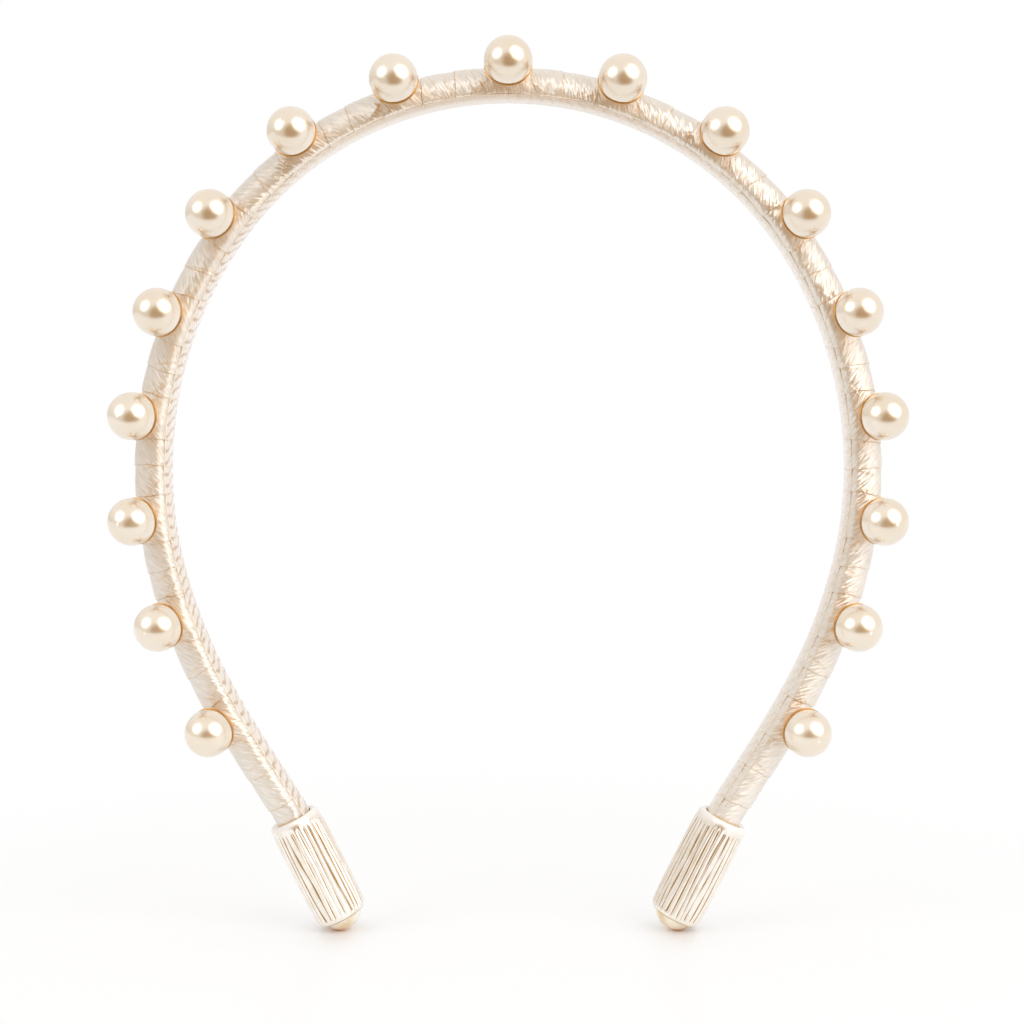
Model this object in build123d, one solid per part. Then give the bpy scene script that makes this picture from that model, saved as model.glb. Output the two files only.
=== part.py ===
from build123d import *
import os
from math import cos, degrees, radians, sin

# A satin-wrapped alice band set with pearls, standing on its two tips. Millimetres and degrees.
# +X runs across the head, -Y is the pearl side, +Z is up, and Z = 0 lies under the tips.
# Every piece is built on the +X arm; the -X arm is its mirror image.

# ---- the band's centreline, from the middle of the crown down one arm ----
CROWN_RADIUS, CROWN_SWEEP = 57.9, 55.5
TEMPLE_RADIUS, TEMPLE_SWEEP = 70.4, 48.4
EAR_RADIUS, EAR_SWEEP = 89.2, 13.9
NAPE_RADIUS, NAPE_SWEEP = 166.0, 4.4
ARM_STRAIGHT = 11.2          # length of straight band below the last bend
HEEL_RADIUS, HEEL_SWEEP = 20.0, 5.7   # the small outward bend just above the sleeve

# ---- the band's section: flat against the head, well rounded outside ----
BAND_THICKNESS = 5.7         # over the lining
BAND_DEPTH = 7.2             # over the satin wrap
OUTER_CORNER = 2.6
INNER_CORNER = 1.5
WRAP_THICKNESS = 0.3
LINING_THICKNESS = 0.2
LINING_REACH = 0.5           # how far the lining laps round the inner corners
CORE_THICKNESS = 0.8
CORE_WIDTH = 5.0
CORE_COVER = 0.7             # foam between the core and the wrap on the head side
GLUE_LINE = 0.05             # clearance between one layer and the next

# ---- pearls on their cups ----
PEARL_RADIUS = 4.0
PEARL_GAPS = (18.2, 18.0, 18.2, 17.7, 17.1, 16.9, 17.6, 19.1)   # set by hand, crown downwards
PEARL_LEAN = 66.5            # from straight outwards towards the pearl side
CUP_THICKNESS = 0.22
CUP_REACH = 70.0             # polar angle of the cup's rim, seen from the pearl's centre
PEG_RADIUS = 0.4
PEG_IN_PEARL = 2.8
PEG_IN_BAND = 1.4
PEG_HOLE_CLEARANCE = 0.05

# ---- end sleeves and domed tips ----
SLEEVE_LENGTH = 19.1
SLEEVE_HALF_WIDTH = 4.6      # across the band's thickness
SLEEVE_HALF_DEPTH = 5.0
SLEEVE_RIM = 0.8
FLUTE_COUNT = 30
FLUTE_RADIUS = 0.22
FLUTE_FROM_MOUTH = 1.2
SLEEVE_FIT = 0.1
SLEEVE_FLOOR = 8.8           # solid metal between the band's pocket and the tip
POCKET_SPARE = 0.3           # pocket left below the band's end
TONGUE_LENGTH = SLEEVE_LENGTH - SLEEVE_FLOOR - POCKET_SPARE   # band inside the sleeve
TIP_RADIUS = 3.5
TIP_HEIGHT = 2.4
SPIGOT_RADIUS = 2.0
SPIGOT_LENGTH = 5.0
SPIGOT_FIT = 0.05

# ---- where the band flexes ----
CROWN_PEARL_COUNT = 3        # pearls on each side of the middle one that stay with the crown
FLEX_GAP = 0.1               # slit between the crown and an arm

# ---- for cutting ----
SLIVER = 0.001               # a run of band shorter than this is left out
CLEAR = 30.0                 # side of a block that reaches past any piece it trims

BENDS = (
    (CROWN_RADIUS, CROWN_SWEEP),
    (TEMPLE_RADIUS, TEMPLE_SWEEP),
    (EAR_RADIUS, EAR_SWEEP),
    (NAPE_RADIUS, NAPE_SWEEP),
    (0.0, ARM_STRAIGHT),
    (-HEEL_RADIUS, HEEL_SWEEP),
    (0.0, TONGUE_LENGTH),
)


def lay_out():
    """Stretches of centreline as (start, length, x, z, heading, radius), with the crown at x = z = 0.

    heading is in degrees below +X. radius is 0 on a straight and negative where the band bends outwards.
    """
    stretches = []
    start, x, z, heading = 0.0, 0.0, 0.0, 0.0
    for radius, size in BENDS:
        length = abs(radius) * radians(size) if radius else size
        stretches.append((start, length, x, z, heading, radius))
        x, z, heading = along(x, z, heading, radius, length)
        start += length
    return stretches


def along(x, z, heading, radius, distance):
    """The point and heading reached after going a distance along one bend or straight."""
    a = radians(heading)
    if not radius:
        return x + cos(a) * distance, z - sin(a) * distance, heading
    b = a + distance / radius
    return x + radius * (sin(b) - sin(a)), z + radius * (cos(b) - cos(a)), degrees(b)


STRETCHES = lay_out()
BAND_END = STRETCHES[-1][0] + STRETCHES[-1][1]
MOUTH = BAND_END - TONGUE_LENGTH
PEARL_STATIONS = tuple(sum(PEARL_GAPS[:count]) for count in range(len(PEARL_GAPS) + 1))
FLEX_STATION = (PEARL_STATIONS[CROWN_PEARL_COUNT] + PEARL_STATIONS[CROWN_PEARL_COUNT + 1]) / 2
OUTSIDE = BAND_THICKNESS / 2
INSIDE = -BAND_THICKNESS / 2
SEAT_FROM_AXIS = OUTER_CORNER + GLUE_LINE + CUP_THICKNESS + PEARL_RADIUS
TIP_SPHERE = (TIP_RADIUS**2 + TIP_HEIGHT**2) / (2 * TIP_HEIGHT)


def point(station):
    """x, z and heading of the centreline at a distance from the crown."""
    for start, length, x, z, heading, radius in STRETCHES:
        if station < start + length:
            break
    return along(x, z, heading, radius, station - start)


def corner_axis():
    """Centre of the section's outer front corner, outwards and frontwards of the centreline."""
    return OUTSIDE - OUTER_CORNER, BAND_DEPTH / 2 - OUTER_CORNER


def pearl_offset():
    """Outward and frontward distance of a pearl's centre from the centreline."""
    outward, frontward = corner_axis()
    lean = radians(PEARL_LEAN)
    return outward + SEAT_FROM_AXIS * cos(lean), frontward + SEAT_FROM_AXIS * sin(lean)


def crown_height():
    """Height of the centreline's top when the domed tips stand on Z = 0."""
    x, z, heading = point(MOUTH)
    centre = SLEEVE_LENGTH + TIP_HEIGHT - TIP_SPHERE
    return TIP_SPHERE + sin(radians(heading)) * centre - z


CROWN_HEIGHT = crown_height()
BAND_Y = (pearl_offset()[1] + PEARL_RADIUS - SLEEVE_HALF_DEPTH) / 2   # centres the part on Y = 0


def section_plane(station):
    """Plane across the band: x outwards, y to the pearl side, z onwards down the arm."""
    x, z, heading = point(station)
    a = radians(heading)
    return Plane(
        origin=(x, BAND_Y, CROWN_HEIGHT + z),
        x_dir=(sin(a), 0, cos(a)),
        z_dir=(cos(a), 0, -sin(a)),
    )


# ---- sections, drawn with x outwards and y to the pearl side ----


def rounded(inner, outer, half_depth, inner_corner, outer_corner):
    """A rectangle with one radius on its two head-side corners and another on its outer two."""
    shape = Pos((inner + outer) / 2, 0) * Rectangle(outer - inner, 2 * half_depth)
    shape = fillet(shape.vertices().group_by(Axis.X)[0], inner_corner)
    return fillet(shape.vertices().group_by(Axis.X)[-1], outer_corner)


def band_outline(grow):
    """Outline of the satin wrap's outside, grown by a distance."""
    inner = INSIDE + LINING_THICKNESS + GLUE_LINE
    return rounded(
        inner - grow, OUTSIDE + grow, BAND_DEPTH / 2 + grow, INNER_CORNER + grow, OUTER_CORNER + grow
    )


def core_middle():
    return (
        INSIDE + LINING_THICKNESS + WRAP_THICKNESS + 2 * GLUE_LINE + CORE_COVER + CORE_THICKNESS / 2
    )


def wrap_section():
    return band_outline(0) - band_outline(-WRAP_THICKNESS)


def padding_section():
    slot = Rectangle(CORE_THICKNESS + 2 * GLUE_LINE, CORE_WIDTH + 2 * GLUE_LINE)
    return band_outline(-WRAP_THICKNESS - GLUE_LINE) - Pos(core_middle(), 0) * slot


def core_section():
    return Pos(core_middle(), 0) * Rectangle(CORE_THICKNESS, CORE_WIDTH)


def lining_section():
    shell = band_outline(GLUE_LINE + LINING_THICKNESS) - band_outline(GLUE_LINE)
    head_side = Pos(INSIDE + LINING_REACH - CLEAR / 2, 0) * Rectangle(CLEAR, CLEAR)
    return shell & head_side


# ---- solids that follow the band ----


def follow(section, start, end):
    """Carry a section along the centreline between two stations."""
    solid = None
    for first, length, x, z, heading, radius in STRETCHES:
        a = max(start, first)
        b = min(end, first + length)
        if b - a < SLIVER:
            continue
        face = section_plane(a).location * section
        if radius:
            turn = radians(heading)
            centre = (x - radius * sin(turn), BAND_Y, CROWN_HEIGHT + z - radius * cos(turn))
            axis = Axis(centre, (0, 1 if radius > 0 else -1, 0))
            run = revolve(face, axis=axis, revolution_arc=degrees((b - a) / abs(radius)))
        else:
            run = extrude(face, amount=b - a, dir=section_plane(a).z_dir)
        solid = run if solid is None else solid + run
    return solid


def mirrored(shape):
    return shape.mirror(Plane.YZ)


# ---- pearls, cups and pegs, in a frame at the pearl's centre with z pointing into the band ----


def pearl_frame(station):
    outward, frontward = pearl_offset()
    lean = radians(PEARL_LEAN)
    seat = Plane(origin=(outward, frontward, 0), x_dir=(0, 0, 1), z_dir=(-cos(lean), -sin(lean), 0))
    return section_plane(station).location * seat.location


def rod(radius, start, end):
    """A round bar along z between two heights."""
    return Pos(0, 0, start) * extrude(Circle(radius), amount=end - start)


def peg_hole(start, end):
    return rod(PEG_RADIUS + PEG_HOLE_CLEARANCE, start, end)


def pearl():
    hole_end = PEARL_RADIUS - PEG_IN_PEARL - PEG_HOLE_CLEARANCE
    return Sphere(PEARL_RADIUS) - peg_hole(hole_end, PEARL_RADIUS + CUP_THICKNESS)


def cup():
    """A shallow metal cup that the pearl is glued into, with its peg through pearl and padding."""
    inner = PEARL_RADIUS + GLUE_LINE / 2
    outer = PEARL_RADIUS + CUP_THICKNESS
    shell = Sphere(outer) - Sphere(inner)
    rim = outer * cos(radians(CUP_REACH))
    shell &= Pos(0, 0, rim + CLEAR / 2) * Box(CLEAR, CLEAR, CLEAR)
    return shell + rod(PEG_RADIUS, PEARL_RADIUS - PEG_IN_PEARL, outer + PEG_IN_BAND)


def drilled(layer, stations):
    """Open a band layer where the pegs pass through it."""
    hole = peg_hole(PEARL_RADIUS, PEARL_RADIUS + CUP_THICKNESS + PEG_IN_BAND + PEG_HOLE_CLEARANCE)
    for station in stations:
        layer -= pearl_frame(station) * hole
    return layer


# ---- end sleeve and domed tip, in the frame of the sleeve's mouth with z down the sleeve ----


def sleeve():
    blank = extrude(Ellipse(SLEEVE_HALF_WIDTH, SLEEVE_HALF_DEPTH), amount=SLEEVE_LENGTH)
    blank = fillet(blank.edges().group_by(Axis.Z)[0] + blank.edges().group_by(Axis.Z)[-1], SLEEVE_RIM)
    flutes = Sketch()
    for turn in range(FLUTE_COUNT):
        a = radians(360 * (turn + 0.5) / FLUTE_COUNT)
        flutes += Pos(SLEEVE_HALF_WIDTH * cos(a), SLEEVE_HALF_DEPTH * sin(a)) * Circle(FLUTE_RADIUS)
    blank -= Pos(0, 0, FLUTE_FROM_MOUTH) * extrude(flutes, amount=SLEEVE_LENGTH)
    mouth = band_outline(GLUE_LINE + LINING_THICKNESS + SLEEVE_FIT)
    pocket = extrude(mouth, amount=SLEEVE_LENGTH - SLEEVE_FLOOR)
    return blank - pocket - rod(SPIGOT_RADIUS + SPIGOT_FIT, TONGUE_LENGTH, SLEEVE_LENGTH)


def tip():
    """A dome on the sleeve's lower face with a spigot up its bore."""
    ball = Pos(0, 0, SLEEVE_LENGTH + TIP_HEIGHT - TIP_SPHERE) * Sphere(TIP_SPHERE)
    dome = ball & Pos(0, 0, SLEEVE_LENGTH + CLEAR / 2) * Box(CLEAR, CLEAR, CLEAR)
    return dome + rod(SPIGOT_RADIUS, SLEEVE_LENGTH - SPIGOT_LENGTH, SLEEVE_LENGTH)


# ---- the assembly ----


def build():
    """Every node of the part by name."""
    nodes = {}
    sections = {
        "core": core_section(),
        "padding": padding_section(),
        "wrap": wrap_section(),
        "lining": lining_section(),
    }
    crown_pearls = PEARL_STATIONS[: CROWN_PEARL_COUNT + 1]
    arm_pearls = PEARL_STATIONS[CROWN_PEARL_COUNT + 1 :]
    for layer, section in sections.items():
        half = follow(section, 0, FLEX_STATION - FLEX_GAP / 2)
        arm = follow(section, FLEX_STATION + FLEX_GAP / 2, BAND_END)
        if layer in ("padding", "wrap"):
            crown = drilled(half + mirrored(half), crown_pearls)
            crown = mirrored(drilled(mirrored(crown), crown_pearls[1:]))
            arm = drilled(arm, arm_pearls)
        else:
            crown = half + mirrored(half)
        nodes[f"{layer}_crown"] = crown
        nodes[f"{layer}_right"] = arm
        nodes[f"{layer}_left"] = mirrored(arm)

    one_pearl = pearl()
    one_cup = cup()
    for number, station in enumerate(PEARL_STATIONS):
        frame = pearl_frame(station)
        if number == 0:
            nodes["pearl_crown"] = frame * one_pearl
            nodes["cup_crown"] = frame * one_cup
            continue
        nodes[f"pearl_right_{number}"] = frame * one_pearl
        nodes[f"cup_right_{number}"] = frame * one_cup
        nodes[f"pearl_left_{number}"] = mirrored(frame * one_pearl)
        nodes[f"cup_left_{number}"] = mirrored(frame * one_cup)

    mouth = section_plane(MOUTH).location
    nodes["sleeve_right"] = mouth * sleeve()
    nodes["sleeve_left"] = mirrored(nodes["sleeve_right"])
    nodes["tip_right"] = mouth * tip()
    nodes["tip_left"] = mirrored(nodes["tip_right"])
    return nodes


os.makedirs("parts", exist_ok=True)
for name, shape in build().items():
    export_step(shape, f"parts/{name}.step")

flex_x, flex_z, flex_heading = point(FLEX_STATION)
print("crown height", round(CROWN_HEIGHT, 3), "band plane Y", round(BAND_Y, 3))
print("crown arc centre Z", round(CROWN_HEIGHT - CROWN_RADIUS, 3), "inner radius", CROWN_RADIUS - OUTSIDE)
print("flex pivot X", round(flex_x + OUTSIDE * sin(radians(flex_heading)), 4),
      "Z", round(CROWN_HEIGHT + flex_z + OUTSIDE * cos(radians(flex_heading)), 4))
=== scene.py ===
import bpy
import numpy as np
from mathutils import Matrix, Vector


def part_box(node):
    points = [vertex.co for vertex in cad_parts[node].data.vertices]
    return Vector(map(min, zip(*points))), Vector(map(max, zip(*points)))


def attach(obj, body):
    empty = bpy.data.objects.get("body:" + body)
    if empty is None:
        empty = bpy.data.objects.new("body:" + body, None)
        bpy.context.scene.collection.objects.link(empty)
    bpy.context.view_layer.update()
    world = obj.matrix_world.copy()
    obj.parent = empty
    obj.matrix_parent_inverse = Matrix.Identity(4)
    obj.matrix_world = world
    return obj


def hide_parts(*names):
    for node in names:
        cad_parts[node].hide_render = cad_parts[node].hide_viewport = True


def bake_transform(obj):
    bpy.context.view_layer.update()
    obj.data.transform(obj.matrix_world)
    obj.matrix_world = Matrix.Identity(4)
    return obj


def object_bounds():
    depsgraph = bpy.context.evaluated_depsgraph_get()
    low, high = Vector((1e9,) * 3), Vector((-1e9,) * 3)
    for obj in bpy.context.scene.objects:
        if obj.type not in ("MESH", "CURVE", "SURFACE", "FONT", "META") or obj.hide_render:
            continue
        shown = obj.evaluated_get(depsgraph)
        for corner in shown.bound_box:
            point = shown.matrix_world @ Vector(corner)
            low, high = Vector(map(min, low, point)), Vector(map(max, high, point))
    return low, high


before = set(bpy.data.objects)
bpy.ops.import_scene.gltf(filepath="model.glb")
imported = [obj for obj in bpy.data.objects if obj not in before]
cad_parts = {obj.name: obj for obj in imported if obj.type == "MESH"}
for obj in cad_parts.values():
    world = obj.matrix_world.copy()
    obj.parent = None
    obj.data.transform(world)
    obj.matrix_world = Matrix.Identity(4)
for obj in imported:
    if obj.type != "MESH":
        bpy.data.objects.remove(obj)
cad_box = [list(corner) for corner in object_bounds()]
MM = 0.001

# ---- camera ----
# A long lens a third of a metre in front of the band, a little above the middle of the arms.

FOCAL_LENGTH = 70.3
SENSOR_WIDTH = 36.0
EYE = (0.63, -336.0, 95.9)   # in mm
DOWNWARD_TILT = 4.0          # in degrees

lens = bpy.data.cameras.new("camera")
lens.lens = FOCAL_LENGTH
lens.sensor_width = SENSOR_WIDTH
camera = bpy.data.objects.new("camera", lens)
camera.location = [place * MM for place in EYE]
camera.rotation_euler = (np.radians(90 - DOWNWARD_TILT), 0, 0)
bpy.context.collection.objects.link(camera)
bpy.context.scene.camera = camera
bpy.context.scene.view_settings.view_transform = "Standard"

# ---- studio ----
# A white floor that runs far behind the band, and a room that is dim in front. Two soft boxes light
# the floor and the hard pieces, and two more light the cloth and the sleeves.

FLOOR_REACH = 4.0
FLOOR_FRONT = -0.18
WHITE_START, WHITE_END = 0.07, 0.17   # distances from the middle between which the floor turns wholly white
WHITE_SHARE = 0.56                    # how white of itself the floor is nearer than that
CONTACT_SHADE = 0.008                 # distance from a tip's foot over which the shade fades
SOFT_BOX_DISTANCE = 1.4
SOFT_BOX_AIM = 80.0                   # height in mm of the place that the soft boxes face
FRONT_DIRECTION = (0.14, -0.97, -0.18)


def blank_material(name):
    """A new material, its node tree and its shader."""
    material = bpy.data.materials.new(name)
    material.use_nodes = True
    return material, material.node_tree, material.node_tree.nodes["Principled BSDF"]


def ranged(tree, value, low, high, to_low=0.0, to_high=1.0, smooth=False):
    """A socket's value carried from one range to another and kept inside it, evenly or by a smooth step."""
    span = tree.nodes.new("ShaderNodeMapRange")
    if smooth:
        span.interpolation_type = "SMOOTHSTEP"
    tree.links.new(value, span.inputs["Value"])
    for key, number in (("From Min", low), ("From Max", high), ("To Min", to_low), ("To Max", to_high)):
        span.inputs[key].default_value = number
    return span.outputs["Result"]


def mix_colour(tree, amount, first, second):
    """A mix of two colours, each a fixed colour or a socket, by a socket."""
    mix = tree.nodes.new("ShaderNodeMix")
    mix.data_type = "RGBA"
    tree.links.new(amount, mix.inputs["Factor"])
    for key, colour in (("A", first), ("B", second)):
        if isinstance(colour, tuple):
            mix.inputs[key].default_value = (*colour, 1)
        else:
            tree.links.new(colour, mix.inputs[key])
    return mix.outputs["Result"]


def vector_math(tree, operation, first, second=None):
    """The node of a vector operation on one socket, or on two."""
    node = tree.nodes.new("ShaderNodeVectorMath")
    node.operation = operation
    tree.links.new(first, node.inputs[0])
    if second is not None:
        tree.links.new(second, node.inputs[1])
    return node


def white_where_seen(tree, share):
    """The share where the camera, a reflection or a refraction looks, and nought for other light."""
    path = tree.nodes.new("ShaderNodeLightPath")
    seen = path.outputs["Is Camera Ray"]
    for other in ("Is Glossy Ray", "Is Transmission Ray"):
        either = tree.nodes.new("ShaderNodeMath")
        either.operation = "MAXIMUM"
        tree.links.new(seen, either.inputs[0])
        tree.links.new(path.outputs[other], either.inputs[1])
        seen = either.outputs[0]
    part = tree.nodes.new("ShaderNodeMath")
    part.operation = "MULTIPLY"
    tree.links.new(seen, part.inputs[0])
    tree.links.new(share, part.inputs[1])
    return part.outputs[0]


ground = cad_box[0][2]
stands_on = min(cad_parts["tip_right"].data.vertices, key=lambda vertex: vertex.co.z).co


def floor_finish():
    """Smooth white board, partly white of itself where it is seen and wholly so further from the band, so
    that only the shade near the band shows. The share falls to nought at the tips' feet."""
    material, tree, board = blank_material("floor")
    board.inputs["Base Color"].default_value = (0.93, 0.93, 0.93, 1)
    board.inputs["Roughness"].default_value = 0.30
    place = tree.nodes.new("ShaderNodeTexCoord").outputs["Object"]
    away = vector_math(tree, "LENGTH", place)
    far = ranged(tree, away.outputs["Value"], WHITE_START, WHITE_END, WHITE_SHARE, 1.0, smooth=True)
    folded = vector_math(tree, "ABSOLUTE", place)
    from_tip = vector_math(tree, "DISTANCE", folded.outputs[0])
    from_tip.inputs[1].default_value = (abs(stands_on.x), abs(stands_on.y), ground)
    near = ranged(tree, from_tip.outputs["Value"], 0.0, CONTACT_SHADE)
    share = tree.nodes.new("ShaderNodeMath")
    share.operation = "MULTIPLY"
    tree.links.new(far, share.inputs[0])
    tree.links.new(near, share.inputs[1])
    white = tree.nodes.new("ShaderNodeEmission")
    white.inputs["Strength"].default_value = 1.0
    mix = tree.nodes.new("ShaderNodeMixShader")
    tree.links.new(white_where_seen(tree, share.outputs[0]), mix.inputs[0])
    tree.links.new(board.outputs[0], mix.inputs[1])
    tree.links.new(white.outputs[0], mix.inputs[2])
    tree.links.new(mix.outputs[0], tree.nodes["Material Output"].inputs[0])
    return material


corners = [(-FLOOR_REACH, FLOOR_FRONT, ground), (FLOOR_REACH, FLOOR_FRONT, ground),
           (FLOOR_REACH, FLOOR_REACH, ground), (-FLOOR_REACH, FLOOR_REACH, ground)]
floor_mesh = bpy.data.meshes.new("floor")
floor_mesh.from_pydata(corners, [], [(0, 1, 2, 3)])
floor_mesh.materials.append(floor_finish())
floor = bpy.data.objects.new("floor", floor_mesh)
bpy.context.collection.objects.link(floor)

world = bpy.data.worlds.new("studio")
world.use_nodes = True
bpy.context.scene.world = world
sky = world.node_tree
facing = sky.nodes.new("ShaderNodeTexCoord").outputs["Generated"]
eye = sky.nodes.new("ShaderNodeLightPath")
ahead = vector_math(sky, "DOT_PRODUCT", facing)
ahead.inputs[1].default_value = FRONT_DIRECTION
apart = sky.nodes.new("ShaderNodeSeparateXYZ")
sky.links.new(facing, apart.inputs[0])
rise = ranged(sky, apart.outputs["Z"], -0.3, 0.6, smooth=True)
across = ranged(sky, apart.outputs["X"], -0.9, 0.7, smooth=True)
mirrored_side = mix_colour(sky, across, (0.69, 0.63, 0.56), (0.97, 0.94, 0.91))
mirrored = mix_colour(sky, rise, mirrored_side, (0.93, 0.90, 0.87))
lit_side = mix_colour(sky, across, (0.41, 0.41, 0.41), (0.65, 0.65, 0.65))
lit = mix_colour(sky, rise, lit_side, (0.88, 0.88, 0.88))
room = mix_colour(sky, eye.outputs["Is Glossy Ray"], lit, mirrored)
in_front = ranged(sky, ahead.outputs["Value"], 0.67, 0.93, smooth=True)
dimmed = mix_colour(sky, in_front, room, (0.33, 0.16, 0.0))
backdrop = mix_colour(sky, eye.outputs["Is Camera Ray"], dimmed, (1.0, 1.0, 1.0))
sky.links.new(backdrop, sky.nodes["Background"].inputs["Color"])


def soft_box(name, direction, size, watts, lights_only):
    """A soft light of a width and a height in metres, at a fixed distance from the middle of the band and
    turned to face it, that lights only the pieces of one collection."""
    data = bpy.data.lights.new(name, "AREA")
    data.shape = "ELLIPSE"
    data.size, data.size_y = size
    data.energy = watts
    lamp = bpy.data.objects.new(name, data)
    away = np.array(direction) / np.linalg.norm(direction)
    lamp.location = away * SOFT_BOX_DISTANCE + np.array([0, 0, SOFT_BOX_AIM * MM])
    lamp.rotation_euler = lamp.location.to_track_quat("Z", "Y").to_euler()
    bpy.context.collection.objects.link(lamp)
    lamp.light_linking.receiver_collection = lights_only


hard_pieces = bpy.data.collections.new("hard_pieces")
hard_pieces.objects.link(floor)
for name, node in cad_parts.items():
    if name.startswith(("pearl_", "cup_", "tip_")):
        hard_pieces.objects.link(node)
soft_pieces = bpy.data.collections.new("soft_pieces")
soft_box("right_box", (0.62, -0.64, 0.42), (1.60, 1.60), 9.8, hard_pieces)
soft_box("left_box", (-0.77, -0.50, 0.40), (1.0, 1.0), 4.6, hard_pieces)
soft_box("tall_box", (0.62, -0.64, 0.22), (1.40, 2.40), 9.3, soft_pieces)
soft_box("top_box", (0.0, -0.70, 0.69), (1.80, 0.50), 2.2, soft_pieces)

# ---- satin wrap ----
# Ivory satin ribbon wound round the padding, each turn lapped over the next one down the arm, with
# its free edges glued. One piece runs down each arm from the seam under the middle pearl.

# radius in mm and sweep in degrees of each bend down an arm, or nought and the length of a straight
BENDS = (
    (57.9, 55.5),
    (70.4, 48.4),
    (89.2, 13.9),
    (166.0, 4.4),
    (0.0, 11.2),
    (-20.0, 5.7),
    (0.0, 10.0),
)
TONGUE = 10.0
BAND_THICKNESS = 5.7
BAND_DEPTH = 7.2
LINING_THICKNESS = 0.2
PEARL_GAPS = (18.2, 18.0, 18.2, 17.7, 17.1, 16.9, 17.6, 19.1)
CROWN_PEARL_COUNT = 3
PEARL_TURN = 7.8          # width of the turn that a pearl sits on
SEAT = (1.29, 3.38)       # outward and frontward place where a pearl's cup touches the ribbon
SEAT_PRESS = 0.1
ARM_SWELL = 0.34          # how much fuller the padding is outwards, half way down an arm
# outward place of the section's front-most point
APEX = {"crown": -1.6, "right": -1.0, "left": -0.5}
LEAN_STRETCH = 55.0       # length over which the crown's section changes to an arm's
OUTER_POWER = 2.1
INNER_POWER = (2.6, 5.0)  # head side of the section: on the pearl side, and on the back
# outward place of the lining strip's two edges
LINING_EDGE = {"crown": -1.8, "right": -2.25, "left": -2.1}
GLUE_LINE = 0.05
FLEX_HALF = 7.0           # half the length of band either side of a joint; its ends are worked out but no bend is spread
COLUMNS = 112
SECTION_SAMPLES = 6001

band_length = sum(abs(radius) * np.radians(size) if radius else size for radius, size in BENDS)
mouth = band_length - TONGUE
pearl_stations = np.cumsum((0.0,) + PEARL_GAPS)
flex_station = pearl_stations[CROWN_PEARL_COUNT:CROWN_PEARL_COUNT + 2].mean()
wrap_low, wrap_high = (np.array(corner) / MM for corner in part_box("wrap_crown"))
band_y = (wrap_low[1] + wrap_high[1]) / 2
crown_z = wrap_high[2] - BAND_THICKNESS / 2


def band_path(station):
    """x, z and heading of the centreline, with the crown at nought. In a bend the heading grows by distance
    over radius and the point swings about the bend's centre; on a straight the point just moves on."""
    x, z, turned = 0 * station, 0 * station, 0 * station
    start = heading = 0.0
    for radius, size in BENDS:
        length = abs(radius) * np.radians(size) if radius else size
        gone = np.clip(station - start, 0, length)
        if radius:
            now = heading + gone / radius
            x = x + radius * (np.sin(now) - np.sin(heading))
            z = z + radius * (np.cos(now) - np.cos(heading))
            turned = turned + gone / radius
            heading += length / radius
        else:
            x = x + np.cos(heading) * gone
            z = z - np.sin(heading) * gone
        start += length
    return x, z, turned


def on_band(station, outward, frontward, side):
    """Points in metres at a distance down one arm, side 1 or -1, so far out from the centreline and so far
    to the pearl side, all in mm."""
    x, z, heading = band_path(station)
    across = side * (x + outward * np.sin(heading))
    up = crown_z + z + outward * np.cos(heading)
    return np.stack(np.broadcast_arrays(across, band_y - frontward, up), axis=-1) * MM


def superellipse(count, apex, outer, inner, half_depth, outer_power, inner_power):
    """A closed section of evenly spaced points, starting innermost and going round by the pearl side:
    superellipses of |o/a|^n + |f/b|^n = 1 that share the chord at the apex. Gives outward and frontward
    places, the same for the normal, and each point's distance round from the front apex, growing outwards
    and on round the back."""
    turn = np.linspace(np.pi, -np.pi, SECTION_SAMPLES)
    c, s = np.cos(turn), np.sin(turn)
    reach = np.where(c > 0, outer - apex, inner + apex)
    power = 2 / np.where(c > 0, outer_power, np.where(s > 0, inner_power[0], inner_power[1]))
    out = apex + reach * np.sign(c) * np.abs(c) ** power
    front = half_depth * np.sign(s) * np.abs(s) ** power
    gone = np.concatenate([[0], np.cumsum(np.hypot(np.diff(out), np.diff(front)))])
    even = np.linspace(0, gone[-1], count, endpoint=False)
    out_even, front_even = np.interp(even, gone, out), np.interp(even, gone, front)
    d_out = np.roll(out_even, -1) - np.roll(out_even, 1)
    d_front = np.roll(front_even, -1) - np.roll(front_even, 1)
    size = np.hypot(d_out, d_front)
    arc = even - gone[np.argmin(np.abs(turn - np.pi / 2))]
    return out_even, front_even, -d_front / size, d_out / size, arc


def band_section(count, apex, grow=0.0, head_side_grow=0.0):
    """The wrapped band's section: flatter with small corners on the head side, and one deep curve outside."""
    outer = BAND_THICKNESS / 2 + grow
    inner = BAND_THICKNESS / 2 - LINING_THICKNESS - GLUE_LINE + head_side_grow
    return superellipse(count, apex, outer, inner, BAND_DEPTH / 2 + grow, OUTER_POWER, INNER_POWER)


def leaned(station, at_crown, on_arm):
    """A value that changes from the crown's to the arm's by a smooth step, because the padding's thick side
    was pushed a little round the core as each arm was wound."""
    share = np.clip(station / LEAN_STRETCH, 0, 1)
    share = share * share * (3 - 2 * share)
    return at_crown + share * (np.asarray(on_arm) - at_crown)


def seat_on(section):
    """The arc where a pearl's cup touches a section, and how far the section falls short of the cup."""
    out, front, arc = section[0], section[1], section[4]
    near = front > 0
    seat_front = np.interp(SEAT[0], out[near], front[near])
    return np.array([np.interp(SEAT[0], out[near], arc[near]), SEAT[1] - seat_front])


def chance(number, seed):
    """A fixed number between nought and one for each whole number, from the fraction of a large sine."""
    return np.modf(np.abs(np.sin(np.asarray(number) * 12.9898 + seed * 78.233)) * 43758.5453)[0]


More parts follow.
